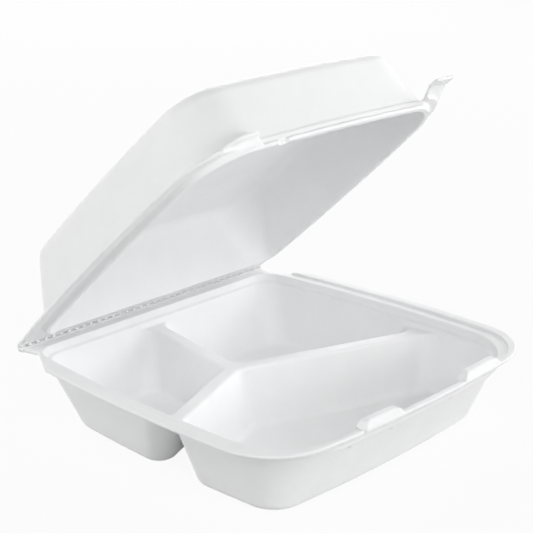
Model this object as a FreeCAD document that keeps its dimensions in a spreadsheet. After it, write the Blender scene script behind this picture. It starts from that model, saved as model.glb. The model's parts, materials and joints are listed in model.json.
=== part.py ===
import FreeCAD
import Part
import PartDesign
import Sketcher
import math
import os

# Foam clamshell container with three compartments. Millimetres, +Z up.
# The base stands on the ground plane and the lid is drawn shut, over the base,
# then turned about the hinge line at the back to the angle it rests at.

doc = FreeCAD.newDocument("clamshell")
sheet = doc.addObject("Spreadsheet::Sheet", "Sizes")


class Size:
    """A length or angle kept both as a sheet expression and as its value."""

    def __init__(self, text, value):
        self.text = text
        self.value = value

    def __add__(self, other):
        other = as_size(other)
        return Size(f"({self.text} + {other.text})", self.value + other.value)

    def __sub__(self, other):
        other = as_size(other)
        return Size(f"({self.text} - {other.text})", self.value - other.value)

    def __mul__(self, other):
        other = as_size(other)
        return Size(f"({self.text} * {other.text})", self.value * other.value)

    def __truediv__(self, other):
        other = as_size(other)
        return Size(f"({self.text} / {other.text})", self.value / other.value)

    def __neg__(self):
        return Size(f"(-1 * {self.text})", -self.value)


def as_size(value):
    """Take a plain number as a size."""
    if isinstance(value, Size):
        return value
    return Size(repr(value), float(value))


def cosine(angle):
    return Size(f"cos({angle.text} * 1 deg)", math.cos(math.radians(angle.value)))


def sine(angle):
    return Size(f"sin({angle.text} * 1 deg)", math.sin(math.radians(angle.value)))


row_count = 0


def size(alias, value, note):
    """Write one driving size to the sheet and hand it back."""
    global row_count
    row_count += 1
    sheet.set(f"A{row_count}", note)
    sheet.set(f"B{row_count}", str(value))
    sheet.setAlias(f"B{row_count}", alias)
    return Size(f"Sizes.{alias}", float(value))


# Thicknesses
foam = size("foam_thickness", 2.5, "thickness of the foam floor and dividers")
edge = size("edge_thickness", 2.1, "thickness of the flanges, pressed thinner")
wall = size("wall_run", 2.7, "level width of a sloping foam wall")
gap = size("hinge_clearance", 0.15, "gap on each side of the hinge line")

# Base rim
rim_top = size("rim_top", 47.75, "height of the base's outer lip")
rim_half = size("rim_half_width", 120.5, "half width at the middle of the lip")
rim_front = size("rim_front", 118.9, "lip's reach to the front")
bow = size("bow_radius", 975.0, "radius of the bowed sides and front")
bow_y = size("bow_centre", -17.9, "place along the sides where they are widest")
rim_corner = size("rim_corner_radius", 41.0, "front corners of the lip")
hinge_y = size("hinge_reach", 110.0, "place of the hinge line")
hinge_inset = size("hinge_inset", 14.9, "setback of the hinge line's ends")
ear_inset = size("ear_inset", 7.0, "setback of the ears from the half width")
ear_run = size("ear_run", 35.0, "distance of the ears from the hinge line")
notch_inset = size("notch_inset", 19.0, "setback of the notches")
notch_run = size("notch_run", 14.4, "distance of the notches from the hinge line")
band_drop = size("band_drop", 1.5, "step from the lip down to the band")
lip_side = size("lip_width_side", 6.4, "width of the lip along the sides")
lip_front = size("lip_width_front", 3.6, "width of the lip along the front")
band_side = size("band_width_side", 6.4, "width of the band along the sides")
band_front = size("band_width_front", 1.4, "width of the band along the front")
step_drop = size("step_drop", 4.6, "height of the step below the band")
step_run = size("step_run", 1.6, "level run of the step")
ledge_run = size("ledge_run", 1.9, "width of the ledge below the step")
well_run = size("well_back_run", 13.9, "from the hinge line to the well's rim")
well_tighten = size("well_corner_tighten", 1.0, "well corners less than the lip's")
well_back_corner = size("well_back_corner_radius", 14.0, "back corners of the well")

# Base floor
lean_side = size("lean_side", 10.9, "lean of the side walls down to the ground")
lean_front = size("lean_front", 18.2, "lean of the front wall down to the ground")
lean_back = size("lean_back", 16.5, "lean of the back wall down to the ground")
floor_corner = size("floor_corner_radius", 18.0, "corners of the outline there")
foot_round = size("foot_round", 6.0, "rounding under the cups")
cup_corner = size("cup_corner_radius", 12.0, "corners of a cup at the dividers")

# Dividers
divider_drop = size("divider_drop", 9.75, "dividers' tops below the lip")
divider_half = size("divider_half_width", 4.8, "half width of a divider's top")
divider_slope = size("divider_slope", 0.26, "slope of a divider's sides")
crest = size("divider_crest_bevel", 1.2, "bevel along a divider's top")
hub_x = size("hub_x", -23.0, "meeting point of the dividers, across")
hub_y = size("hub_y", 9.1, "meeting point of the dividers, along")
back_end_x = size("back_divider_end_x", -7.5, "far end of the back divider")
left_end_y = size("left_divider_end_y", -30.9, "far end of the left divider")
right_end_y = size("right_divider_end_y", -45.9, "far end of the right divider")
end_reach = size("divider_end_reach", 5.5, "dividers' lines run past the lip")

# Hinge perforation
slot_margin = size("slot_margin", 1.75, "flange left beside the outer perforations")
slot_long = size("slot_length", 2.5, "length of one perforation")
slot_deep = size("slot_depth", 0.9, "depth of one perforation into each flange")
slot_count = size("slot_count", 35, "number of perforations")

# Latches on the base's front lip
hump_rise = size("hump_rise", 4.2, "height of a hump above the lip")
hump_deep = size("hump_depth", 7.4, "depth of a hump from front to back")
hump_inset = size("hump_inset", 0.3, "setback of a hump from the lip's edge")
hump_lead = size("hump_lead", 4.5, "run of a hump's steep end")
hump_trail = size("hump_trail", 9.0, "run of a hump's gentle end")
hump_side = size("hump_side_run", 2.0, "run of a hump's long sides")
hump_shoulder = size("hump_shoulder", 0.7, "share of a hump's height below its shoulder")
hump_bulge = size("hump_bulge", 0.35, "share of a hump's run below its shoulder")
hump_wall = size("hump_wall", 1.3, "thickness of a hump's stretched wall")
hump_corner = size("hump_corner_radius", 0.6, "corners of a hump")
hump_one = size("hump_one_start", -51.0, "left end of the first hump")
hump_one_long = size("hump_one_length", 32.0, "length of the first hump")
hump_two = size("hump_two_start", 37.0, "left end of the second hump")
hump_two_long = size("hump_two_length", 38.0, "length of the second hump")
slit_wide = size("slit_width", 1.4, "width of the slit beside a hump")
slit_deep = size("slit_depth", 7.0, "depth of the slit beside a hump")
gusset_long = size("gusset_length", 18.0, "length of a gusset below the lip")
gusset_drop = size("gusset_drop", 10.9, "height of a gusset's end face")
gusset_run = size("gusset_run", 8.4, "depth of a gusset's end face")
gusset_root = size("gusset_root", 8.0, "a gusset's root inside the wall")
gusset_tip = size("gusset_tip", 0.8, "size of a gusset's thin end")

# Lid rim
open_angle = size("open_angle", 42.2, "angle at which the lid rests, from shut")
lid_bow_y = size("lid_bow_centre", 12.1, "place where the lid's sides are widest")
nest = size("lid_nest", 0.7, "gap between the lid's front edge and the lip")
lid_inset = size("lid_side_inset", 3.2, "lid's half width less than the recess's")
lid_hinge_inset = size("lid_hinge_inset", 0.6, "lid's hinge edge ends inside the base's")
lid_ear_inset = size("lid_ear_inset", 2.4, "setback of the lid's rear corners")
lid_ear_run = size("lid_ear_run", 28.9, "rear corners' distance from the hinge line")
root_lift = size("lid_root_lift", 1.35, "lid's lower edge above the ledge")
plug_side = size("plug_side_gap", 2.9, "play between plug and step at the sides")
plug_fore = size("plug_front_gap", 2.0, "play between plug and step at the front")
plug_tighten = size("plug_corner_tighten", 4.0, "plug corners less than the well's")
root_run = size("lid_root_run", 3.4, "width of the lid's lower edge")
mouth_inset = size("mouth_back_inset", 1.3, "mouth's back inside the well's rim")
plug_short = size("plug_back_inset", 0.1, "plug ends this far inside the mouth's back")
mouth_corner = size("mouth_back_corner_radius", 16.0, "back corners of the mouth")

# Dome
dome_rise = size("dome_rise", 41.0, "top of the shut lid above the base's lip")
dome_side = size("dome_lean_side", 13.6, "lean of the dome's sides")
dome_fore = size("dome_lean_front", 5.5, "lean of the dome's front")
dome_rear = size("dome_lean_back", 11.2, "lean of the dome's back")
lid_top_corner = size("lid_top_corner_radius", 29.0, "corners of the lid's top")
lid_round = size("lid_top_round", 7.0, "rounding around the lid's top")

# Trimmed front edge of the lid
trim_left = size("lid_trim_left", -88.0, "left end of the trimmed front edge")
trim_right = size("lid_trim_right", 77.5, "right end of the trimmed front edge")
trim_land = size("lid_trim_land", 0.2, "width left in front of the lid's wall")
trim_rest = size("lid_trim_rest", 2.0, "height left of the trimmed edge")
nick_start = size("nick_start", -50.0, "left end of the nick in the trimmed edge")
nick_long = size("nick_length", 6.0, "length of that nick")
nick_deep = size("nick_depth", 1.6, "depth of that nick")

# Left tab, a stretch of the rim that rises from the corner to its cut end
left_cut = size("left_tab_cut", -60.5, "place of the left tab's cut end")
left_slant = size("left_tab_slant", 25.0, "slant of its cut end")
left_root_y = size("left_tab_root_reach", 108.4, "reach of its root")
left_root_z = size("left_tab_root_height", 0.4, "its root above the lid's lower edge")
left_run = size("left_tab_run", 2.2, "run of its rising wall")
left_rise = size("left_tab_rise", 6.2, "rise of that wall")
left_lip = size("left_tab_lip", 2.6, "width of its lip")
left_lip_rise = size("left_tab_lip_rise", 1.2, "rise of the lip")
bend_x = size("left_bend_place", -78.0, "place where the rim bends at the corner")
bend_y = size("left_bend_reach", 104.5, "reach of its root there")
bend_z = size("left_bend_height", 2.5, "its root there above the lid's lower edge")
bend_run = size("left_bend_run", 3.6, "run of its wall there, and of its lip")
bend_rise = size("left_bend_rise", 3.2, "rise of its wall there")
bend_lip_rise = size("left_bend_lip_rise", 0.8, "rise of its lip there")
left_far = size("left_tab_far", -95.0, "place where it leaves the flange")
left_far_y = size("left_tab_far_reach", 95.9, "reach of its root at the far end")
left_far_run = size("left_tab_far_run", 3.0, "half its width at the far end")

# Right tab, a tongue that rises beside the corner
right_root_y = size("right_tab_root_reach", 107.5, "reach of its root")
right_root_z = size("right_tab_root_height", 3.8, "its root above the lid's lower edge")
right_run = size("right_tab_run", 10.2, "run of its rising wall")
right_rise = size("right_tab_rise", 4.4, "rise of that wall")
right_lip = size("right_tab_lip", 5.6, "width of its lip")
right_lip_drop = size("right_tab_lip_drop", 0.6, "drop of the lip")
right_far = size("right_tab_far", 96.0, "place of the right tab's far end")
right_far_y = size("right_tab_far_reach", 103.2, "reach of its root there")
right_far_z = size("right_tab_far_height", 4.2, "its root there above the lower edge")
right_far_run = size("right_tab_far_run", 10.6, "run of its wall there")
right_far_lip = size("right_tab_far_lip", 8.6, "width of its lip there")

doc.recompute()

# Heights that follow from the sizes
band_top = rim_top - band_drop
hinge_z = band_top + gap
ledge_top = band_top - step_drop
band_under = band_top - edge
lip_under = rim_top - edge
divider_top = rim_top - divider_drop
roof = divider_top - foam
lid_flange_under = hinge_z + gap
lid_flange_top = lid_flange_under + edge
lid_root = ledge_top + root_lift
lid_top = rim_top + dome_rise

# Level outlines of the rim that follow from the sizes
ridge_half = rim_half - lip_side
ridge_front = rim_front - lip_front
step_half = ridge_half - band_side
step_front = ridge_front - band_front
ledge_half = step_half - step_run
ledge_front = step_front - step_run
well_half = ledge_half - ledge_run
well_front = ledge_front - ledge_run
well_back = hinge_y - well_run
well_corner = rim_corner - well_tighten
ear = (rim_half - ear_inset, hinge_y - ear_run)
notch = (rim_half - notch_inset, hinge_y - notch_run)
hinge_half = rim_half - hinge_inset

# Outline of the base on the ground
floor_half = well_half - lean_side
floor_front = well_front - lean_front
floor_back = well_back - lean_back
end_half = rim_half + end_reach

# Level outlines of the lid
lid_half = ridge_half - lid_inset
lid_front = ridge_front - nest
lid_corner = rim_corner - lip_front - nest
lid_hinge_half = hinge_half - lid_hinge_inset
lid_ear = (lid_half - lid_ear_inset, hinge_y - lid_ear_run)
plug_half = step_half - plug_side
plug_front = step_front - plug_fore
plug_corner = well_corner - plug_tighten
mouth_back = well_back - mouth_inset
slot_pitch = ((lid_hinge_half - slot_margin) * 2 - slot_long) / (slot_count - 1)


def body(label):
    made = doc.addObject("PartDesign::Body", label)
    made.Label = label
    return made


def plane_of(owner, role):
    for feature in owner.Origin.OriginFeatures:
        if feature.Role == role:
            return feature
    raise ValueError(role)


def level_sketch(owner, name, height):
    """Start a sketch that lies level at a height bound to the sheet."""
    made = owner.newObject("Sketcher::SketchObject", name)
    made.AttachmentSupport = [(plane_of(owner, "XY_Plane"), "")]
    made.MapMode = "FlatFace"
    made.AttachmentOffset.Base = FreeCAD.Vector(0, 0, height.value)
    made.setExpression("AttachmentOffset.Base.z", height.text)
    return made


def upright_sketch(owner, name, place, level, lean):
    """Start a sketch across the X axis, tilted about a line at a level.

    Its own first axis runs along Y and its second one upwards from the level."""
    made = owner.newObject("Sketcher::SketchObject", name)
    made.AttachmentSupport = [(plane_of(owner, "YZ_Plane"), "")]
    made.MapMode = "FlatFace"
    made.AttachmentOffset = FreeCAD.Placement(
        FreeCAD.Vector(0, level.value, place.value),
        FreeCAD.Rotation(FreeCAD.Vector(1, 0, 0), lean.value),
    )
    made.setExpression("AttachmentOffset.Base.y", level.text)
    made.setExpression("AttachmentOffset.Base.z", place.text)
    if lean.value != 0:
        made.setExpression("AttachmentOffset.Rotation.Angle", lean.text)
    return made


def bind(sketch, kind, *arguments):
    """Add a constraint whose last argument is a size and bind it to the sheet."""
    measure = arguments[-1]
    index = sketch.addConstraint(
        Sketcher.Constraint(kind, *arguments[:-1], measure.value)
    )
    sketch.setExpression(f"Constraints[{index}]", measure.text)


def pin_point(sketch, geometry, end, across, along):
    """Hold one point of a sketch at two sizes from the origin."""
    for kind, measure in (("DistanceX", across), ("DistanceY", along)):
        if measure.text == "0":
            target = -2 if kind == "DistanceX" else -1
            sketch.addConstraint(
                Sketcher.Constraint("PointOnObject", geometry, end, target)
            )
        else:
            bind(sketch, kind, -1, 1, geometry, end, measure)


ZERO = Size("0", 0.0)
SEARCH_STEPS = 40


class Arc:
    """A bowed side, given by the centre and radius of its circle.

    A hollow side bends into the outline and ends in sharp corners."""

    def __init__(self, across, along, radius, hollow=False):
        self.across, self.along, self.radius = across, along, radius
        self.centre = FreeCAD.Vector(across.value, along.value, 0)
        self.hollow = hollow

    def inset(self, point, distance):
        away = point - self.centre
        length = away.Length
        return length - (self.radius.value - distance), away / length

    def foot(self, point):
        away = point - self.centre
        return self.centre + away * (self.radius.value / away.Length)


class Line:
    """A straight side through two points, or parallel to them at a distance.

    The outline is walked anticlockwise, so the inside lies to the left."""

    def __init__(self, start, end, offset=None):
        self.start, self.end, self.offset = start, end, offset
        first = FreeCAD.Vector(start[0].value, start[1].value, 0)
        second = FreeCAD.Vector(end[0].value, end[1].value, 0)
        self.ends = (first, second)
        self.direction = (second - first).normalize()
        self.inward = FreeCAD.Vector(-self.direction.y, self.direction.x, 0)
        self.base = first
        if offset is not None:
            self.base = first + self.inward * offset.value

    def inset(self, point, distance):
        return distance - (point - self.base).dot(self.inward), -self.inward

    def foot(self, point):
        return point - self.inward * (point - self.base).dot(self.inward)


def corner_centre(one, two, radius, guess):
    """Find the point that lies one radius inside both sides."""
    point = guess
    for _ in range(SEARCH_STEPS):
        first, along_first = one.inset(point, radius)
        second, along_second = two.inset(point, radius)
        cross = along_first.x * along_second.y - along_first.y * along_second.x
        step_x = (-first * along_second.y + second * along_first.y) / cross
        step_y = (-second * along_first.x + first * along_second.x) / cross
        point = point + FreeCAD.Vector(step_x, step_y, 0)
    return point


def draw_outline(sketch, sides, corners, guesses):
    """Draw a closed outline of sides joined by round or sharp corners."""
    count = len(sides)
    joints = []
    for index in range(count):
        one = sides[index]
        two = sides[(index + 1) % count]
        radius = corners[index].value if corners[index] is not None else 0.0
        guess = FreeCAD.Vector(*guesses[index], 0)
        centre = corner_centre(one, two, radius, guess)
        joints.append((centre, one.foot(centre), two.foot(centre)))
    made = []
    for index, side in enumerate(sides):
        start = joints[index - 1][2]
        end = joints[index][1]
        ends = (1, 2)
        if isinstance(side, Arc):
            if side.hollow:
                start, end = end, start
                ends = (2, 1)
            first = math.atan2(start.y - side.centre.y, start.x - side.centre.x)
            last = math.atan2(end.y - side.centre.y, end.x - side.centre.x)
            if last < first:
                last += 2 * math.pi
            circle = Part.Circle(side.centre, FreeCAD.Vector(0, 0, 1), side.radius.value)
            number = sketch.addGeometry(Part.ArcOfCircle(circle, first, last), False)
            pin_point(sketch, number, 3, side.across, side.along)
            bind(sketch, "Radius", number, side.radius)
        else:
            number = sketch.addGeometry(Part.LineSegment(start, end), False)
            guide = sketch.addGeometry(Part.LineSegment(*side.ends), True)
            pin_point(sketch, guide, 1, *side.start)
            pin_point(sketch, guide, 2, *side.end)
            if side.offset is None:
                for end_point in (1, 2):
                    sketch.addConstraint(
                        Sketcher.Constraint("PointOnObject", guide, end_point, number)
                    )
            else:
                sketch.addConstraint(Sketcher.Constraint("Parallel", guide, number))
                bind(sketch, "Distance", guide, 1, number, side.offset)
        made.append((number, *ends))
    for index in range(count):
        centre, start, end = joints[index]
        before, _, before_end = made[index]
        after, after_start, _ = made[(index + 1) % count]
        if corners[index] is None:
            sketch.addConstraint(
                Sketcher.Constraint("Coincident", before, before_end, after, after_start)
            )
            continue
        first = math.atan2(start.y - centre.y, start.x - centre.x)
        last = math.atan2(end.y - centre.y, end.x - centre.x)
        if last < first:
            last += 2 * math.pi
        circle = Part.Circle(centre, FreeCAD.Vector(0, 0, 1), corners[index].value)
        number = sketch.addGeometry(Part.ArcOfCircle(circle, first, last), False)
        sketch.addConstraint(
            Sketcher.Constraint("Tangent", before, before_end, number, 1)
        )
        sketch.addConstraint(
            Sketcher.Constraint("Tangent", number, 2, after, after_start)
        )
        bind(sketch, "Radius", number, corners[index])


def left_side(half, widest=bow_y):
    return Arc(bow - half, widest, bow)


def right_side(half, widest=bow_y):
    return Arc(half - bow, widest, bow)


def front_side(front):
    return Arc(ZERO, bow - front, bow)


def back_side(half, back):
    return Line((half, back), (-half, back))


def front_at(front, across):
    """Give the bowed front's place along Y at a place across."""
    return across * across / (bow * 2) - front


def tray_outline(sketch, half, front, back, front_corner, back_corner, widest=bow_y):
    """Draw the outline of the whole tray at one level."""
    wide, fore, rear = half.value, front.value, back.value
    draw_outline(
        sketch,
        [
            left_side(half, widest),
            front_side(front),
            right_side(half, widest),
            back_side(half, back),
        ],
        [front_corner, front_corner, back_corner, back_corner],
        [(-wide, -fore), (wide, -fore), (wide, rear), (-wide, rear)],
    )


def level_share(height, lower, upper, lower_height, upper_height):
    """Read a sloping wall's place at a height between two levels."""
    share = (height - lower_height) / (upper_height - lower_height)
    return lower + (upper - lower) * share


def tray_at(height, inset):
    """Give the sizes of the sloping tray wall at a height."""
    ground = ZERO
    half = level_share(height, floor_half, well_half + wall, ground, ledge_top)
    front = level_share(height, floor_front, well_front + wall, ground, ledge_top)
    back = level_share(height, floor_back, well_back + wall, ground, ledge_top)
    front_corner = level_share(
        height, floor_corner, well_corner + wall, ground, ledge_top
    )
    back_corner = level_share(
        height, floor_corner, well_back_corner + wall, ground, ledge_top
    )
    return [
        half - inset,
        front - inset,
        back - inset,
        front_corner - inset,
        back_corner - inset,
    ]


hub = (hub_x, hub_y)
back_end = (back_end_x, well_back + wall)
left_end = (-end_half, left_end_y)
right_end = (end_half, right_end_y)


def cup_outline(sketch, which, height, inset, bevel=ZERO):
    """Draw the outline of one cup at a height, inside the tray and dividers."""
    half, front, back, front_corner, back_corner = tray_at(height, inset)
    side = divider_half + (divider_top - height) * divider_slope
    side = side + inset - wall - bevel
    corner = cup_corner - inset
    wide, fore, rear = half.value, front.value, back.value
    middle = (hub_x.value, hub_y.value)
    back_guess = (back_end_x.value, rear)
    left_guess = (-wide, left_end_y.value)
    right_guess = (wide, right_end_y.value)
    if which == "left":
        sides = [
            Line(left_end, hub, side),
            Line(hub, back_end, side),
            back_side(half, back),
            left_side(half),
        ]
        corners = [corner, corner, back_corner, corner]
        guesses = [middle, back_guess, (-wide, rear), left_guess]
    elif which == "right":
        sides = [
            Line(back_end, hub, side),
            Line(hub, right_end, side),
            right_side(half),
            back_side(half, back),
        ]
        corners = [corner, corner, back_corner, corner]
        guesses = [middle, right_guess, (wide, rear), back_guess]
    else:
        sides = [
            Line(hub, left_end, side),
            left_side(half),
            front_side(front),
            right_side(half),
            Line(right_end, hub, side),
        ]
        corners = [corner, front_corner, front_corner, corner, corner]
        guesses = [left_guess, (-wide, -fore), (wide, -fore), right_guess, middle]
    draw_outline(sketch, sides, corners, guesses)


def pad(owner, name, sketch, length):
    made = owner.newObject("PartDesign::Pad", name)
    made.Profile = sketch
    made.Length = length.value
    made.setExpression("Length", length.text)
    return made


def pocket(owner, name, sketch, depth):
    """Cut downwards from the sketch's own level."""
    made = owner.newObject("PartDesign::Pocket", name)
    made.Profile = sketch
    made.Length = depth.value
    made.setExpression("Length", depth.text)
    return made


def loft(owner, name, kind, lower, *above):
    made = owner.newObject(f"PartDesign::{kind}Loft", name)
    made.Profile = lower
    made.Sections = list(above)
    made.Ruled = True
    return made


def polygon_outline(sketch, points):
    """Draw a closed outline with straight sides through given points."""
    count = len(points)
    made = []
    for index in range(count):
        start = points[index]
        end = points[(index + 1) % count]
        segment = Part.LineSegment(
            FreeCAD.Vector(start[0].value, start[1].value, 0),
            FreeCAD.Vector(end[0].value, end[1].value, 0),
        )
        made.append(sketch.addGeometry(segment, False))
    for index in range(count):
        after = made[(index + 1) % count]
        sketch.addConstraint(Sketcher.Constraint("Coincident", made[index], 2, after, 1))
        pin_point(sketch, made[index], 1, *points[index])


def block_outline(sketch, left, right, fore, rear):
    """Draw a rectangle."""
    polygon_outline(sketch, [(left, fore), (right, fore), (right, rear), (left, rear)])


def strip_outline(sketch, left, right, front, depth, corner):
    """Draw a block with round corners that stands along the bowed front."""
    left_fore = front_at(front, left)
    right_fore = front_at(front, right)
    points = [
        (left, left_fore),
        (right, right_fore),
        (right, right_fore + depth),
        (left, left_fore + depth),
    ]
    count = len(points)
    sides = [Line(points[index], points[(index + 1) % count]) for index in range(count)]
    guesses = [(across.value, along.value) for across, along in points]
    draw_outline(sketch, sides, [corner] * count, guesses[1:] + guesses[:1])


def edges_at(shape, height, tolerance=0.01):
    """Name the edges that lie level at a height."""
    names = []
    for index, found in enumerate(shape.Edges, 1):
        box = found.BoundBox
        if abs(box.ZMin - height) < tolerance and abs(box.ZMax - height) < tolerance:
            names.append(f"Edge{index}")
    return names


def round_edges(owner, name, base, names, radius):
    made = owner.newObject("PartDesign::Fillet", name)
    made.Base = (base, names)
    made.Radius = radius.value
    made.setExpression("Radius", radius.text)
    return made


CUPS = ("left", "right", "front")

# Base
base = body("base")


def rim_outline(sketch, half, front, corner, ear, notch, hinge, reach):
    """Draw the lip's outline with its ears, notches and hinge edge."""
    draw_outline(
        sketch,
        [
            left_side(half),
            front_side(front),
            right_side(half),
            Line(ear, notch),
            Line(notch, (hinge, reach)),
            Line((hinge, reach), (-hinge, reach)),
            Line((-hinge, reach), (-notch[0], notch[1])),
            Line((-notch[0], notch[1]), (-ear[0], ear[1])),
        ],
        [corner, corner, None, None, None, None, None, None],
        [
            (-half.value, -front.value),
            (half.value, -front.value),
            (ear[0].value, ear[1].value),
            (notch[0].value, notch[1].value),
            (hinge.value, reach.value),
            (-hinge.value, reach.value),
            (-notch[0].value, notch[1].value),
            (-ear[0].value, ear[1].value),
        ],
    )


lip_sketch = level_sketch(base, "lip_outline", lip_under)
rim_outline(
    lip_sketch,
    rim_half,
    rim_front,
    rim_corner,
    ear,
    notch,
    hinge_half,
    hinge_y - gap,
)
pad(base, "lip", lip_sketch, edge)

band_sketch = level_sketch(base, "band_outline", band_under)
rim_outline(
    band_sketch,
    ridge_half + wall,
    ridge_front + edge,
    rim_corner - lip_side + wall,
    (ear[0] - wall, ear[1]),
    notch,
    hinge_half,
    hinge_y - gap,
)
pad(base, "band", band_sketch, edge)

# Well of the base, seen from outside
step_back = well_back + ledge_run
step_corner = well_corner + ledge_run
outer_low = level_sketch(base, "step_outer_low", ledge_top - edge)
tray_outline(
    outer_low,
    ledge_half + wall,
    ledge_front + wall,
    step_back + wall,
    step_corner + wall,
    well_back_corner + wall,
)
outer_high = level_sketch(base, "step_outer_high", band_top - edge / 2)
tray_outline(
    outer_high,
    step_half + wall,
    step_front + wall,
    step_back + step_run + wall,
    step_corner + wall,
    well_back_corner + wall,
)
loft(base, "step_outer", "Additive", outer_low, outer_high)

tray_low = level_sketch(base, "tray_outer_low", roof)
tray_outline(tray_low, *tray_at(roof, ZERO))
tray_high = level_sketch(base, "tray_outer_high", ledge_top)
tray_outline(tray_high, *tray_at(ledge_top, ZERO))
loft(base, "tray_outer", "Additive", tray_low, tray_high)

for cup in CUPS:
    low = level_sketch(base, f"{cup}_cup_outer_low", ZERO)
    cup_outline(low, cup, ZERO, ZERO)
    high = level_sketch(base, f"{cup}_cup_outer_high", roof)
    cup_outline(high, cup, roof, ZERO)
    outside = loft(base, f"{cup}_cup_outer", "Additive", low, high)

doc.recompute()
round_edges(
    base, "foot_rounding", outside, edges_at(outside.Shape, 0.0), foot_round + foam
)

# Gussets below the front lip, at both ends of each latch
for number, end in enumerate(
    (
        hump_one - slit_wide,
        hump_one + hump_one_long,
        hump_two - slit_wide,
        hump_two + hump_two_long,
    )
):
    fore = front_at(rim_front - hump_inset, end)
    broad = upright_sketch(base, f"gusset_{number}_end", end, lip_under, ZERO)
    polygon_outline(
        broad,
        [
            (fore, gusset_tip),
            (fore, gusset_tip / 2),
            (fore + gusset_run, -gusset_drop),
            (fore + gusset_run + gusset_root, -gusset_drop),
            (fore + gusset_run + gusset_root, gusset_tip),
        ],
    )
    start = end - gusset_long
    fore = front_at(rim_front - hump_inset, start)
    thin = upright_sketch(base, f"gusset_{number}_start", start, lip_under, ZERO)
    polygon_outline(
        thin,
        [
            (fore, gusset_tip),
            (fore, gusset_tip / 2),
            (fore + gusset_tip / 2, gusset_tip / 4),
            (fore + gusset_tip, gusset_tip / 4),
            (fore + gusset_tip, gusset_tip),
        ],
    )
    loft(base, f"gusset_{number}", "Additive", thin, broad)

# Recess of the band inside the lip, open to the hinge edge
recess_sketch = level_sketch(base, "recess_outline", rim_top)
tray_outline(
    recess_sketch,
    ridge_half,
    ridge_front,
    hinge_y + well_back_corner + band_side,
    rim_corner - lip_front,
    well_back_corner,
)
pocket(base, "recess", recess_sketch, band_drop)

# Hollow of the base, from the step down to the cups
well_low = level_sketch(base, "step_inner_low", ledge_top)
tray_outline(
    well_low, ledge_half, ledge_front, step_back, step_corner, well_back_corner
)
well_high = level_sketch(base, "step_inner_high", band_top)
tray_outline(
    well_high,
    step_half,
    step_front,
    step_back + step_run,
    step_corner,
    well_back_corner,
)
loft(base, "step_inner", "Subtractive", well_low, well_high)

hollow_low = level_sketch(base, "tray_inner_low", divider_top)
tray_outline(hollow_low, *tray_at(divider_top, wall))
hollow_high = level_sketch(base, "tray_inner_high", ledge_top)
tray_outline(hollow_high, *tray_at(ledge_top, wall))
loft(base, "tray_inner", "Subtractive", hollow_low, hollow_high)

for cup in CUPS:
    low = level_sketch(base, f"{cup}_cup_inner_low", foam)
    cup_outline(low, cup, foam, wall)
    middle = level_sketch(base, f"{cup}_cup_inner_crest", divider_top - crest)
    cup_outline(middle, cup, divider_top - crest, wall)
    high = level_sketch(base, f"{cup}_cup_inner_high", divider_top)
    cup_outline(high, cup, divider_top, wall, crest)
    inside = loft(base, f"{cup}_cup_inner", "Subtractive", low, middle, high)

doc.recompute()
round_edges(
    base, "floor_rounding", inside, edges_at(inside.Shape, foam.value), foot_round
)

# Humps of the two latches on the lip, hollow beneath, each beside a slit
for name, start, length in (
    ("hump_one", hump_one, hump_one_long),
    ("hump_two", hump_two, hump_two_long),
):
    for kind, inset, foot_height in (
        ("Additive", ZERO, rim_top - edge / 2),
        ("Subtractive", hump_wall, lip_under),
    ):
        foot = level_sketch(base, f"{name}_{kind}_foot", foot_height)
        strip_outline(
            foot,
            start + inset,
            start + length - inset,
            rim_front - hump_inset - inset,
            hump_deep - inset * 2,
            hump_corner,
        )
        levels = []
        for level_name, rise, run in (
            ("shoulder", hump_rise * hump_shoulder, hump_bulge),
            ("head", hump_rise, as_size(1)),
        ):
            level = level_sketch(base, f"{name}_{kind}_{level_name}", rim_top + rise - inset)
            strip_outline(
                level,
                start + hump_lead * run + inset,
                start + length - hump_trail * run - inset,
                rim_front - hump_inset - hump_side * run - inset,
                hump_deep - (hump_side * run + inset) * 2,
                hump_corner,
            )
            levels.append(level)
        loft(base, f"{name}_{kind}", kind, foot, *levels)
    slit = level_sketch(base, f"{name}_slit_outline", rim_top)
    block_outline(slit, start - slit_wide, start, -rim_front, slit_deep - rim_front)
    pocket(base, f"{name}_slit", slit, band_drop + edge)


def perforate(owner, height, depth):
    """Cut the row of slots into the hinge edge of one flange."""
    row_length = (slot_count - 1) * slot_pitch
    first = -row_length / 2
    sketch = level_sketch(owner, f"{owner.Name}_slot_outline", height)
    block_outline(
        sketch,
        first - slot_long / 2,
        first + slot_long / 2,
        hinge_y - gap - slot_deep,
        hinge_y,
    )
    slot = pocket(owner, f"{owner.Name}_slot", sketch, depth)
    doc.recompute()
    row = owner.newObject("PartDesign::LinearPattern", f"{owner.Name}_slots")
    row.Originals = [slot]
    row.Direction = (plane_of(owner, "X_Axis"), [""])
    row.Length = row_length.value
    row.setExpression("Length", row_length.text)
    row.Occurrences = int(slot_count.value)
    row.setExpression("Occurrences", slot_count.text)
    owner.Tip = row


perforate(base, band_top, edge)

# Lid
lid = body("lid")
flange_sketch = level_sketch(lid, "flange_outline", lid_flange_under)
draw_outline(
    flange_sketch,
    [
        left_side(lid_half, lid_bow_y),
        front_side(lid_front),
        right_side(lid_half, lid_bow_y),
        Line(lid_ear, (lid_hinge_half, hinge_y - gap)),
        back_side(lid_hinge_half, hinge_y - gap),
        Line((-lid_hinge_half, hinge_y - gap), (-lid_ear[0], lid_ear[1])),
    ],
    [lid_corner, lid_corner, None, None, None, None],
    [
        (-lid_half.value, -lid_front.value),
        (lid_half.value, -lid_front.value),
        (lid_ear[0].value, lid_ear[1].value),
        (lid_hinge_half.value, hinge_y.value),
        (-lid_hinge_half.value, hinge_y.value),
        (-lid_ear[0].value, lid_ear[1].value),
    ],
)
pad(lid, "flange", flange_sketch, edge)

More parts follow.
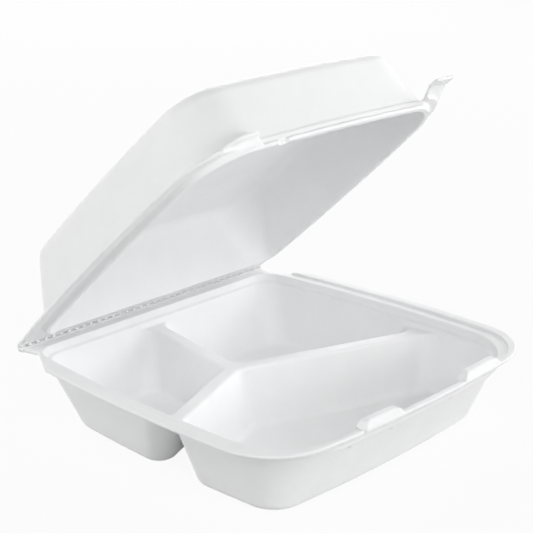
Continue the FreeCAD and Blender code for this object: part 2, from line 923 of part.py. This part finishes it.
# Plug that drops into the base's step, along the sides and the front
plug_low = level_sketch(lid, "plug_low", lid_root)
tray_outline(
    plug_low,
    plug_half - step_run,
    plug_front - step_run,
    mouth_back - plug_short,
    plug_corner,
    mouth_corner,
    lid_bow_y,
)
plug_high = level_sketch(lid, "plug_high", lid_root + step_drop)
tray_outline(
    plug_high,
    plug_half,
    plug_front,
    mouth_back - plug_short,
    plug_corner,
    mouth_corner,
    lid_bow_y,
)
loft(lid, "plug", "Additive", plug_low, plug_high)


def dome_at(height, inset):
    """Give the sizes of the lid's sloping wall at a height."""
    places = [
        (plug_half - step_run - root_run + wall, ledge_half - dome_side),
        (plug_front - step_run - root_run + wall, plug_front - dome_fore),
        (mouth_back + wall, mouth_back - dome_rear),
        (plug_corner, lid_top_corner),
        (mouth_corner, lid_top_corner),
    ]
    return [
        level_share(height, lower, upper, lid_root, lid_top) - inset
        for lower, upper in places
    ]


# Front edge, cut back to the wall between the ends of the tabs
trim_front = dome_at(lid_root, ZERO)[1] + trim_land
trim_floor = lid_root + trim_rest
trim_sketch = level_sketch(lid, "trim_outline", lid_flange_top)
draw_outline(
    trim_sketch,
    [
        Line((trim_left, -rim_front), (trim_right, -rim_front)),
        Line((trim_right, -rim_front), (trim_right, ZERO)),
        Arc(ZERO, bow - trim_front, bow, hollow=True),
        Line((trim_left, ZERO), (trim_left, -rim_front)),
    ],
    [None, None, None, None],
    [
        (trim_right.value, -rim_front.value),
        (trim_right.value, -trim_front.value),
        (trim_left.value, -trim_front.value),
        (trim_left.value, -rim_front.value),
    ],
)
pocket(lid, "trim", trim_sketch, lid_flange_top - trim_floor)

nick_sketch = level_sketch(lid, "nick_outline", trim_floor)
block_outline(
    nick_sketch,
    nick_start,
    nick_start + nick_long,
    -rim_front,
    front_at(trim_front, nick_start) + nick_deep,
)
pocket(lid, "nick", nick_sketch, trim_rest)

dome_low = level_sketch(lid, "dome_low", lid_flange_under)
tray_outline(dome_low, *dome_at(lid_flange_under, ZERO), lid_bow_y)
dome_high = level_sketch(lid, "dome_high", lid_top)
tray_outline(dome_high, *dome_at(lid_top, ZERO), lid_bow_y)
dome = loft(lid, "dome", "Additive", dome_low, dome_high)
doc.recompute()
round_edges(
    lid, "top_rounding", dome, edges_at(dome.Shape, lid_top.value), lid_round + foam
)


def tab_section(name, place, lean, points):
    """Draw a tab's profile, given by its root, the top of its wall and its lip."""
    sketch = upright_sketch(lid, name, place, lid_root, lean)
    root, knee, tip = points
    polygon_outline(
        sketch,
        [
            root,
            (root[0] + edge, root[1] + edge / 2),
            (knee[0] + edge / 2, knee[1] + edge),
            (tip[0], tip[1] + edge),
            tip,
            knee,
        ],
    )
    return sketch


def climb(reach, level, *moves):
    """List the points reached from a root by moves forwards and up."""
    points = [(-reach, level)]
    for run, rise in moves:
        along, up = points[-1]
        points.append((along - run, up + rise))
    return points


# Left tab
flat = lid_flange_under - lid_root
left_loft = []
for name, place, lean, points in (
    (
        "far",
        left_far,
        ZERO,
        climb(left_far_y, flat, (left_far_run, ZERO), (left_far_run, ZERO)),
    ),
    (
        "bend",
        bend_x,
        ZERO,
        climb(bend_y, bend_z, (bend_run, bend_rise), (bend_run, bend_lip_rise)),
    ),
    (
        "cut",
        left_cut,
        -left_slant,
        climb(left_root_y, left_root_z, (left_run, left_rise), (left_lip, left_lip_rise)),
    ),
):
    left_loft.append(tab_section(f"left_tab_{name}", place, lean, points))
loft(lid, "left_tab", "Additive", *left_loft)

# Right tab
right_loft = []
for name, place, points in (
    (
        "near",
        trim_right,
        climb(
            right_root_y,
            right_root_z,
            (right_run, right_rise),
            (right_lip, -right_lip_drop),
        ),
    ),
    (
        "far",
        right_far,
        climb(
            right_far_y,
            right_far_z,
            (right_far_run, right_rise),
            (right_far_lip, -right_lip_drop),
        ),
    ),
):
    right_loft.append(tab_section(f"right_tab_{name}", place, ZERO, points))
loft(lid, "right_tab", "Additive", *right_loft)

mouth_low = level_sketch(lid, "mouth_low", lid_root)
tray_outline(mouth_low, *dome_at(lid_root, wall), lid_bow_y)
mouth_high = level_sketch(lid, "mouth_high", lid_top - foam)
tray_outline(mouth_high, *dome_at(lid_top - foam, wall), lid_bow_y)
mouth = loft(lid, "mouth", "Subtractive", mouth_low, mouth_high)
doc.recompute()
inner_top = edges_at(mouth.Shape, (lid_top - foam).value)
round_edges(lid, "inner_rounding", mouth, inner_top, lid_round)

perforate(lid, lid_flange_top, edge)

# The lid turns about the hinge line to the angle it rests at.
turn = FreeCAD.Rotation(FreeCAD.Vector(1, 0, 0), -open_angle.value)
pivot = FreeCAD.Vector(0, hinge_y.value, hinge_z.value)
lid.Placement = FreeCAD.Placement(pivot - turn.multVec(pivot), turn)
shift_y = hinge_y - hinge_y * cosine(open_angle) - hinge_z * sine(open_angle)
shift_z = hinge_z + hinge_y * sine(open_angle) - hinge_z * cosine(open_angle)
lid.setExpression("Placement.Base.y", shift_y.text)
lid.setExpression("Placement.Base.z", shift_z.text)
lid.setExpression("Placement.Rotation.Angle", (-open_angle).text)

doc.recompute()

# Check every object before anything is written
for item in doc.Objects:
    if "Invalid" in item.State or "Error" in item.State:
        raise RuntimeError(f"{item.Name} failed: {item.State}")

nodes = [base, lid]
for node in nodes:
    if node.Shape.isNull() or not node.Shape.isValid():
        raise RuntimeError(f"{node.Label} has no valid shape")
    if len(node.Shape.Solids) != 1:
        raise RuntimeError(f"{node.Label} is not one solid")

os.makedirs("parts", exist_ok=True)
for node in nodes:
    node.Shape.exportStep(f"parts/{node.Label}.step")
    box = node.Shape.BoundBox
    print(
        f"{node.Label}: volume {node.Shape.Volume:.0f}, "
        f"x {box.XMin:.1f} to {box.XMax:.1f}, "
        f"y {box.YMin:.1f} to {box.YMax:.1f}, "
        f"z {box.ZMin:.1f} to {box.ZMax:.1f}"
    )
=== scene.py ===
import json
import math

import bmesh
import bpy
from mathutils import Matrix, Vector


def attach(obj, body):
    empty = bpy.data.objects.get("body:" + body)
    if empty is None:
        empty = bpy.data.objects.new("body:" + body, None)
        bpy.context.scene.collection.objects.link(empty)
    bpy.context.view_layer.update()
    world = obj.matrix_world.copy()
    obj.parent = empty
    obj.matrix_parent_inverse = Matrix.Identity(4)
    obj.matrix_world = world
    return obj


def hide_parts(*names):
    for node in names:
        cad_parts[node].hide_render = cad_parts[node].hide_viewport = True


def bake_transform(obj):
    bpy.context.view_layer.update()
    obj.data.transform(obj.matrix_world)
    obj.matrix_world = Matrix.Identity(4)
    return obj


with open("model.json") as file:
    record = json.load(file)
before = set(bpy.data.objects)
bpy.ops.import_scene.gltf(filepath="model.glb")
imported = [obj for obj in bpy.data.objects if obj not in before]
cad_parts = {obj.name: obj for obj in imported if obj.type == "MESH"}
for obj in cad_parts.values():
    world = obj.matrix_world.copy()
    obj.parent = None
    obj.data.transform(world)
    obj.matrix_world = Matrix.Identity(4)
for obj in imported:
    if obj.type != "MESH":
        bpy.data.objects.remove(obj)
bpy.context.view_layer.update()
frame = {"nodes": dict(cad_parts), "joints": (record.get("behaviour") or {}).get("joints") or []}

bl_info = {
    "name": "Foam clamshell container",
    "version": (1, 0, 0),
    "blender": (4, 5, 0),
    "location": "3D View > Sidebar > Clamshell",
    "description": "Foam finish, hinge webs and studio for a three compartment container",
    "category": "Object",
}

MM = 0.001
HINGE = frame["joints"][0]
HINGE_Y = HINGE["pos_m"][1]
HINGE_Z = HINGE["pos_m"][2]
HINGE_PLACE = Vector(HINGE["pos_m"])
OPEN_ANGLE = -math.radians(HINGE["range_deg"][0])
OPENING = Matrix.Rotation(-OPEN_ANGLE, 3, "X")
# Points of the CAD triangles closer than this are one point.
MERGE = 0.005 * MM
# The sharp hinge strip reaches this far into the softened sheet.
SEAM = 0.1 * MM
# Below this height the base is cups and dividers, above it the rim.
LEDGE_Z = 43.5 * MM
# Above this height the shut lid is dome, below it the flange.
RIM_Z = 50.0 * MM

# The skin's noises: scale for each metre, and detail.
CLOUD_SCALE = 45.0
CLOUD_DETAIL = 4.0
WAVE_SCALE = 160.0
WAVE_DETAIL = 2.0
CELL_DETAIL = 3.0
NOISE_ROUGHNESS = 0.55
# The part of a noise's range that is spread over the wanted values.
NOISE_LOW = 0.3
NOISE_HIGH = 0.7
WAVE_HEIGHT = 0.25 * MM
WAVE_STRENGTH = 0.4
CELL_STRENGTH = 1.0
SKIN_ROUGHNESS = (0.4, 0.56)
SKIN_SPECULAR = 0.12
SKIN_SUBSURFACE = 0.1
SKIN_RADIUS = (1.0, 1.0, 1.0)
SKIN_DEPTH = 1.6 * MM

SMOOTH_FACTOR = 0.5
FOLD_STEPS = 8

SENSOR_WIDTH = 36.0
VIEW_END = 100.0
FLOOR_RADIUS = 9.0
FLOOR_SEGMENTS = 96
FLOOR_GREY = 0.7
FLOOR_ROUGHNESS = 0.9
# Share of plain white in the floor that the camera sees; the rest takes the shadow.
FLOOR_WHITE = 0.93
BACKDROP = 0.99
# The light that comes evenly from everywhere, beside the lamps.
FILL = 0.02
# The point that the lamps face.
LIT = (0.0, 0.0, 0.08)
# Each lamp's name, watts and place.
LAMPS = (
    ("lamp_camera", 5.0, (-0.9, -1.8, 0.55)),
    ("lamp_high", 15.0, (-0.8, -1.3, 1.4)),
    ("lamp_front", 14.0, (0.5, -2.0, 0.4)),
    ("lamp_left", 10.0, (-1.9, 0.8, 0.7)),
    ("lamp_right", 19.0, (1.9, -0.5, 0.7)),
    ("lamp_right_high", 3.5, (1.3, -0.3, 1.4)),
    ("lamp_back", 7.0, (0.0, 1.9, 0.9)),
    ("lamp_back_left", 13.5, (-1.3, 1.6, 0.9)),
    ("lamp_back_right", 14.5, (1.4, 1.5, 0.9)),
)


class ClamshellFoam(bpy.types.PropertyGroup):
    """Colours and grain of the white foam."""

    colour: bpy.props.FloatVectorProperty(
        name="Foam colour",
        description="Colour of the foam's skin",
        subtype="COLOR",
        size=3,
        min=0.0,
        max=1.0,
        default=(0.93, 0.932, 0.936),
    )
    shade: bpy.props.FloatVectorProperty(
        name="Foam shade",
        description="Slightly deeper colour in the clouding of the skin",
        subtype="COLOR",
        size=3,
        min=0.0,
        max=1.0,
        default=(0.905, 0.908, 0.914),
    )
    grain: bpy.props.FloatProperty(
        name="Grain size",
        description="Size of one cell that shows in the skin",
        default=0.9 * MM,
        min=0.1 * MM,
        unit="LENGTH",
    )
    relief: bpy.props.FloatProperty(
        name="Grain relief",
        description="Height of the grain",
        default=0.16 * MM,
        min=0.0,
        unit="LENGTH",
    )


class ClamshellMould(bpy.types.PropertyGroup):
    """Softness of the moulded sheet."""

    cell: bpy.props.FloatProperty(
        name="Mesh cell",
        description="Cell size of the softened mesh",
        default=0.6 * MM,
        min=0.5 * MM,
        unit="LENGTH",
    )
    rim_passes: bpy.props.IntProperty(
        name="Rim passes",
        description="Smoothing passes over the flanges and latches",
        default=1,
        min=0,
    )
    wall_passes: bpy.props.IntProperty(
        name="Wall passes",
        description="Further smoothing passes over the cups, dividers and dome",
        default=4,
        min=0,
    )
    strip: bpy.props.FloatProperty(
        name="Hinge strip",
        description="Width of the flange beside the hinge that stays sharp",
        default=4.0 * MM,
        min=1.0 * MM,
        unit="LENGTH",
    )
    share: bpy.props.FloatProperty(
        name="Kept share",
        description="Share of the softened mesh's faces that is kept",
        default=0.155,
        min=0.1,
        max=1.0,
        subtype="FACTOR",
    )


class ClamshellHinge(bpy.types.PropertyGroup):
    """Foam left between the perforations of the hinge."""

    count: bpy.props.IntProperty(
        name="Perforations",
        description="Number of perforations along the hinge",
        default=35,
        min=1,
    )
    pitch: bpy.props.FloatProperty(
        name="Pitch",
        description="Spacing of the perforations",
        default=6.0 * MM,
        unit="LENGTH",
    )
    slot: bpy.props.FloatProperty(
        name="Perforation",
        description="Length of one perforation",
        default=2.5 * MM,
        unit="LENGTH",
    )
    margin: bpy.props.FloatProperty(
        name="End web",
        description="Length of the webs at the two ends",
        default=1.75 * MM,
        unit="LENGTH",
    )
    inner: bpy.props.FloatProperty(
        name="Inner radius",
        description="Inner radius of the folded foam at the hinge line",
        default=0.12 * MM,
        unit="LENGTH",
    )
    outer: bpy.props.FloatProperty(
        name="Outer radius",
        description="Outer radius of the folded foam at the hinge line",
        default=1.9 * MM,
        unit="LENGTH",
    )


class ClamshellStudio(bpy.types.PropertyGroup):
    """Camera and floor of the picture."""

    turn: bpy.props.FloatProperty(
        name="Camera turn",
        description="Angle of the camera around the container, from the front",
        default=math.radians(-46.49),
        subtype="ANGLE",
    )
    rise: bpy.props.FloatProperty(
        name="Camera rise",
        description="Angle of the camera above the table",
        default=math.radians(18.76),
        subtype="ANGLE",
    )
    reach: bpy.props.FloatProperty(
        name="Camera reach",
        description="Distance from the camera to the point that it looks at",
        default=839.64 * MM,
        unit="LENGTH",
    )
    aim: bpy.props.FloatVectorProperty(
        name="Camera aim",
        description="Point that the camera looks at",
        size=3,
        default=(9.85 * MM, 12.73 * MM, 92.70 * MM),
        subtype="TRANSLATION",
        unit="LENGTH",
    )
    lens: bpy.props.FloatProperty(
        name="Lens",
        description="Focal length on a 36 mm wide sensor, in millimetres",
        default=93.72,
        unit="CAMERA",
    )
    lamp: bpy.props.FloatProperty(
        name="Lamp size",
        description="Width of each soft lamp",
        default=1.0,
        min=0.1,
        unit="LENGTH",
    )


def shader(name):
    """Start a material and hand back its nodes, links and main shader."""
    material = bpy.data.materials.new(name)
    material.use_nodes = True
    nodes = material.node_tree.nodes
    links = material.node_tree.links
    return material, nodes, links, nodes["Principled BSDF"]


def cloud(nodes, links, place, scale, detail):
    """Add a noise that reads a place on the piece."""
    made = nodes.new("ShaderNodeTexNoise")
    made.inputs["Scale"].default_value = scale
    made.inputs["Detail"].default_value = detail
    made.inputs["Roughness"].default_value = NOISE_ROUGHNESS
    links.new(place, made.inputs["Vector"])
    return made.outputs["Fac"]


def spread(nodes, links, source, low, high):
    """Map a noise onto a range of values."""
    made = nodes.new("ShaderNodeMapRange")
    made.inputs["From Min"].default_value = NOISE_LOW
    made.inputs["From Max"].default_value = NOISE_HIGH
    made.inputs["To Min"].default_value = low
    made.inputs["To Max"].default_value = high
    links.new(source, made.inputs["Value"])
    return made.outputs["Result"]


def relief(nodes, links, height, distance, strength, under=None):
    """Add a bump of a named height over another one."""
    made = nodes.new("ShaderNodeBump")
    made.inputs["Distance"].default_value = distance
    made.inputs["Strength"].default_value = strength
    links.new(height, made.inputs["Height"])
    if under is not None:
        links.new(under, made.inputs["Normal"])
    return made.outputs["Normal"]


def foam_finish(foam):
    """Make the satin skin of the foam, with its fine cells and faint clouding."""
    material, nodes, links, skin = shader("foam_skin")
    place = nodes.new("ShaderNodeTexCoord").outputs["Object"]
    mix = nodes.new("ShaderNodeMix")
    mix.data_type = "RGBA"
    mix.inputs["A"].default_value = (*foam.shade, 1.0)
    mix.inputs["B"].default_value = (*foam.colour, 1.0)
    clouding = cloud(nodes, links, place, CLOUD_SCALE, CLOUD_DETAIL)
    links.new(spread(nodes, links, clouding, 0.0, 1.0), mix.inputs["Factor"])
    links.new(mix.outputs["Result"], skin.inputs["Base Color"])
    cells = cloud(nodes, links, place, 1.0 / foam.grain, CELL_DETAIL)
    links.new(spread(nodes, links, cells, *SKIN_ROUGHNESS), skin.inputs["Roughness"])
    waves = cloud(nodes, links, place, WAVE_SCALE, WAVE_DETAIL)
    swell = relief(nodes, links, waves, WAVE_HEIGHT, WAVE_STRENGTH)
    grain = relief(nodes, links, cells, foam.relief, CELL_STRENGTH, swell)
    links.new(grain, skin.inputs["Normal"])
    skin.inputs["Specular IOR Level"].default_value = SKIN_SPECULAR
    skin.inputs["Subsurface Weight"].default_value = SKIN_SUBSURFACE
    skin.inputs["Subsurface Radius"].default_value = SKIN_RADIUS
    skin.inputs["Subsurface Scale"].default_value = SKIN_DEPTH
    return material


def foam_material(context):
    """Hand back the foam finish, made once."""
    material = bpy.data.materials.get("foam_skin")
    if material is None:
        material = foam_finish(context.scene.clamshell_foam)
    return material


def new_piece(name, shape, material):
    """Put a mesh into the scene as a piece with a material."""
    data = bpy.data.meshes.new(name)
    shape.to_mesh(data)
    shape.free()
    data.materials.append(material)
    piece = bpy.data.objects.new(name, data)
    bpy.context.scene.collection.objects.link(piece)
    return piece


def merged_copy(node):
    """Copy a CAD node's mesh and join its loose triangles."""
    shape = bmesh.new()
    shape.from_mesh(frame["nodes"][node].data)
    bmesh.ops.remove_doubles(shape, verts=shape.verts[:], dist=MERGE)
    return shape


def cut_off(shape, point, outward):
    """Cut a closed shape along a plane, drop what is outside and close it."""
    parts = shape.verts[:] + shape.edges[:] + shape.faces[:]
    cut = bmesh.ops.bisect_plane(
        shape, geom=parts, dist=MERGE, plane_co=point, plane_no=outward, clear_outer=True
    )
    rim = [part for part in cut["geom_cut"] if isinstance(part, bmesh.types.BMEdge)]
    bmesh.ops.holes_fill(shape, edges=rim, sides=0)
    return shape


def set_modifiers(piece):
    """Replace a piece's mesh with what its modifiers make of it."""
    view = bpy.context.evaluated_depsgraph_get()
    made = bpy.data.meshes.new_from_object(piece.evaluated_get(view))
    old = piece.data
    piece.modifiers.clear()
    piece.data = made
    made.name = old.name
    bpy.data.meshes.remove(old)


def even_cells(piece, cell):
    """Turn a closed mesh into even cells."""
    remesh = piece.modifiers.new("cells", "REMESH")
    remesh.mode = "VOXEL"
    remesh.voxel_size = cell
    set_modifiers(piece)


def thin_out(piece, share):
    """Drop the faces that a smooth surface doesn't need."""
    decimate = piece.modifiers.new("thin", "DECIMATE")
    decimate.ratio = share
    set_modifiers(piece)


def soften(shape, verts, passes):
    """Round the moulded edges by moving each point towards its neighbours."""
    for _ in range(passes):
        bmesh.ops.smooth_vert(
            shape,
            verts=verts,
            factor=SMOOTH_FACTOR,
            use_axis_x=True,
            use_axis_y=True,
            use_axis_z=True,
        )


def soft_foam(node, name, place, outward, is_wall, context):
    """Make a node's softened stand-in, with its hinge strip left sharp.

    The place and outward direction name the plane between the two. The test
    is_wall says which points are softened most.
    """
    mould = context.scene.clamshell_mould
    material = foam_material(context)
    sheet = cut_off(merged_copy(node), place, outward)
    piece = new_piece(name, sheet, material)
    even_cells(piece, mould.cell)
    shape = bmesh.new()
    shape.from_mesh(piece.data)
    edge = [vert for vert in shape.verts if (vert.co - place).dot(outward) > -mould.cell]
    held = set(edge)
    free = [vert for vert in shape.verts if vert not in held]
    soften(shape, free, mould.rim_passes)
    soften(shape, [vert for vert in free if is_wall(vert.co)], mould.wall_passes)
    shape.to_mesh(piece.data)
    shape.free()
    thin_out(piece, mould.share)
    strip = cut_off(merged_copy(node), place - outward * SEAM, -outward)
    whole = bmesh.new()
    whole.from_mesh(piece.data)
    loose = bpy.data.meshes.new(f"{name}_strip")
    strip.to_mesh(loose)
    strip.free()
    whole.from_mesh(loose)
    bpy.data.meshes.remove(loose)
    for face in whole.faces:
        face.smooth = True
    whole.to_mesh(piece.data)
    whole.free()
    return piece


class CLAMSHELL_OT_base(bpy.types.Operator):
    """Finish the compartment tray"""

    bl_idname = "clamshell.base"
    bl_label = "Base"

    def execute(self, context):
        strip = context.scene.clamshell_mould.strip
        place = HINGE_PLACE - Vector((0.0, strip, 0.0))

        def is_wall(point):
            return point.z < LEDGE_Z

        piece = soft_foam("base", "tray", place, Vector((0.0, 1.0, 0.0)), is_wall, context)
        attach(piece, "base")
        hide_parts("base")
        return {"FINISHED"}


class CLAMSHELL_OT_lid(bpy.types.Operator):
    """Finish the lid"""

    bl_idname = "clamshell.lid"
    bl_label = "Lid"

    def execute(self, context):
        strip = context.scene.clamshell_mould.strip
        outward = OPENING @ Vector((0.0, 1.0, 0.0))
        place = HINGE_PLACE - outward * strip
        shut = OPENING.inverted()

        def is_wall(point):
            return (shut @ (point - HINGE_PLACE)).z + HINGE_Z > RIM_Z

        piece = soft_foam("lid", "cover", place, outward, is_wall, context)
        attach(piece, "lid")
        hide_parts("lid")
        return {"FINISHED"}


class CLAMSHELL_OT_hinge(bpy.types.Operator):
    """Fill the hinge with foam between its perforations"""

    bl_idname = "clamshell.hinge"
    bl_label = "Hinge"

    def execute(self, context):
        hinge = context.scene.clamshell_hinge
        shape = bmesh.new()
        fold = math.pi - OPEN_ANGLE
        first = -hinge.pitch * (hinge.count - 1) / 2.0
        web = hinge.pitch - hinge.slot
        starts = [(first - hinge.slot / 2.0 - hinge.margin, hinge.margin)]
        for index in range(hinge.count - 1):
            starts.append((first + hinge.pitch * index + hinge.slot / 2.0, web))
        starts.append((-first + hinge.slot / 2.0, hinge.margin))
        for start, length in starts:
            low = shape.verts.new((start, HINGE_Y, HINGE_Z - hinge.inner))
            high = shape.verts.new((start, HINGE_Y, HINGE_Z - hinge.outer))
            edge = shape.edges.new((low, high))
            known = set(shape.faces)
            bmesh.ops.spin(
                shape,
                geom=[low, high, edge],
                cent=HINGE_PLACE,
                axis=(1.0, 0.0, 0.0),
                angle=fold,
                steps=FOLD_STEPS,
            )
            folded = [face for face in shape.faces if face not in known]
            grown = bmesh.ops.extrude_face_region(shape, geom=folded)
            moved = [part for part in grown["geom"] if isinstance(part, bmesh.types.BMVert)]
            bmesh.ops.translate(shape, verts=moved, vec=(length, 0.0, 0.0))
        bmesh.ops.recalc_face_normals(shape, faces=shape.faces[:])
        piece = new_piece("hinge_webs", shape, foam_material(context))
        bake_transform(piece)
        return {"FINISHED"}


def add_lamp(name, size, energy, place, aim):
    """Hang a square soft lamp that faces a point."""
    light = bpy.data.lights.new(name, "AREA")
    light.shape = "SQUARE"
    light.size = size
    light.energy = energy
    lamp = bpy.data.objects.new(name, light)
    lamp.visible_camera = False
    lamp.location = place
    lamp.rotation_euler = (Vector(aim) - Vector(place)).to_track_quat("-Z", "Y").to_euler()
    bpy.context.scene.collection.objects.link(lamp)


def seen_white(nodes, links):
    """One for rays from the camera or through a mirror or glass, else nought."""
    path = nodes.new("ShaderNodeLightPath")
    first = nodes.new("ShaderNodeMath")
    first.operation = "MAXIMUM"
    links.new(path.outputs["Is Camera Ray"], first.inputs[0])
    links.new(path.outputs["Is Glossy Ray"], first.inputs[1])
    second = nodes.new("ShaderNodeMath")
    second.operation = "MAXIMUM"
    links.new(first.outputs[0], second.inputs[0])
    links.new(path.outputs["Is Transmission Ray"], second.inputs[1])
    return second.outputs[0]


def floor_finish():
    """Make a pale floor that shows nearly white and keeps a faint shadow."""
    material, nodes, links, skin = shader("studio_floor")
    skin.inputs["Base Color"].default_value = (FLOOR_GREY, FLOOR_GREY, FLOOR_GREY, 1.0)
    skin.inputs["Roughness"].default_value = FLOOR_ROUGHNESS
    skin.inputs["Specular IOR Level"].default_value = 0.0
    glow = nodes.new("ShaderNodeEmission")
    glow.inputs["Color"].default_value = (1.0, 1.0, 1.0, 1.0)
    glow.inputs["Strength"].default_value = 1.0
    share = nodes.new("ShaderNodeMath")
    share.operation = "MULTIPLY"
    share.inputs[1].default_value = FLOOR_WHITE
    links.new(seen_white(nodes, links), share.inputs[0])
    mix = nodes.new("ShaderNodeMixShader")
    links.new(share.outputs[0], mix.inputs["Fac"])
    links.new(skin.outputs["BSDF"], mix.inputs[1])
    links.new(glow.outputs["Emission"], mix.inputs[2])
    links.new(mix.outputs["Shader"], nodes["Material Output"].inputs["Surface"])
    return material


def fill_world(level):
    """Light the studio evenly and show it white behind the container."""
    world = bpy.data.worlds.new("studio")
    bpy.context.scene.world = world
    world.use_nodes = True
    nodes = world.node_tree.nodes
    links = world.node_tree.links
    soft = nodes["Background"]
    soft.inputs["Color"].default_value = (1.0, 1.0, 1.0, 1.0)
    soft.inputs["Strength"].default_value = level
    white = nodes.new("ShaderNodeBackground")
    white.inputs["Color"].default_value = (BACKDROP, BACKDROP, BACKDROP, 1.0)
    white.inputs["Strength"].default_value = 1.0
    mix = nodes.new("ShaderNodeMixShader")
    links.new(seen_white(nodes, links), mix.inputs["Fac"])
    links.new(soft.outputs["Background"], mix.inputs[1])
    links.new(white.outputs["Background"], mix.inputs[2])
    links.new(mix.outputs["Shader"], nodes["World Output"].inputs["Surface"])


class CLAMSHELL_OT_studio(bpy.types.Operator):
    """Set up the floor, the soft lamps and the camera"""

    bl_idname = "clamshell.studio"
    bl_label = "Studio"

    def execute(self, context):
        studio = context.scene.clamshell_studio
        back = Vector(
            (
                math.sin(studio.turn) * math.cos(studio.rise),
                -math.cos(studio.turn) * math.cos(studio.rise),
                math.sin(studio.rise),
            )
        )
        right = Vector((math.cos(studio.turn), math.sin(studio.turn), 0.0))
        up = back.cross(right)
        place = Vector(studio.aim) + back * studio.reach
        view = bpy.data.cameras.new("camera")
        view.lens = studio.lens
        view.sensor_width = SENSOR_WIDTH
        view.clip_end = VIEW_END
        camera = bpy.data.objects.new("camera", view)
        camera.matrix_world = Matrix(
            (
                (right.x, up.x, back.x, place.x),
                (right.y, up.y, back.y, place.y),
                (right.z, up.z, back.z, place.z),
                (0.0, 0.0, 0.0, 1.0),
            )
        )
        context.scene.collection.objects.link(camera)
        context.scene.camera = camera

        sheet = bmesh.new()
        bmesh.ops.create_circle(
            sheet, cap_ends=True, radius=FLOOR_RADIUS, segments=FLOOR_SEGMENTS
        )
        floor = bpy.data.objects.new("floor", bpy.data.meshes.new("floor"))
        sheet.to_mesh(floor.data)
        sheet.free()
        floor.data.materials.append(floor_finish())
        context.scene.collection.objects.link(floor)

        for name, energy, place in LAMPS:
            add_lamp(name, studio.lamp, energy, place, LIT)
        fill_world(FILL)
        context.scene.view_settings.view_transform = "Standard"
        return {"FINISHED"}


class CLAMSHELL_PT_panel(bpy.types.Panel):
    """The container's pieces, one button each"""

    bl_idname = "CLAMSHELL_PT_panel"
    bl_label = "Foam clamshell"
    bl_space_type = "VIEW_3D"
    bl_region_type = "UI"
    bl_category = "Clamshell"

    def draw(self, context):
        column = self.layout.column()
        for name in ("colour", "shade", "grain", "relief"):
            column.prop(context.scene.clamshell_foam, name)
        for name in ("cell", "rim_passes", "wall_passes", "strip", "share"):
            column.prop(context.scene.clamshell_mould, name)
        for name in ("count", "pitch", "slot", "margin", "inner", "outer"):
            column.prop(context.scene.clamshell_hinge, name)
        for name in ("turn", "rise", "reach", "aim", "lens", "lamp"):
            column.prop(context.scene.clamshell_studio, name)
        for operator in OPERATORS:
            column.operator(operator.bl_idname)


GROUPS = (ClamshellFoam, ClamshellMould, ClamshellHinge, ClamshellStudio)
OPERATORS = (
    CLAMSHELL_OT_base,
    CLAMSHELL_OT_lid,
    CLAMSHELL_OT_hinge,
    CLAMSHELL_OT_studio,
)
CLASSES = (*GROUPS, *OPERATORS, CLAMSHELL_PT_panel)


def register():
    for entry in CLASSES:
        bpy.utils.register_class(entry)
    bpy.types.Scene.clamshell_foam = bpy.props.PointerProperty(type=ClamshellFoam)
    bpy.types.Scene.clamshell_mould = bpy.props.PointerProperty(type=ClamshellMould)
    bpy.types.Scene.clamshell_hinge = bpy.props.PointerProperty(type=ClamshellHinge)
    bpy.types.Scene.clamshell_studio = bpy.props.PointerProperty(type=ClamshellStudio)


def unregister():
    del bpy.types.Scene.clamshell_studio
    del bpy.types.Scene.clamshell_hinge
    del bpy.types.Scene.clamshell_mould
    del bpy.types.Scene.clamshell_foam
    for entry in reversed(CLASSES):
        bpy.utils.unregister_class(entry)


def main():
    register()
    bpy.ops.clamshell.base()
    bpy.ops.clamshell.lid()
    bpy.ops.clamshell.hinge()
    bpy.ops.clamshell.studio()


if __name__ == "__main__":
    main()
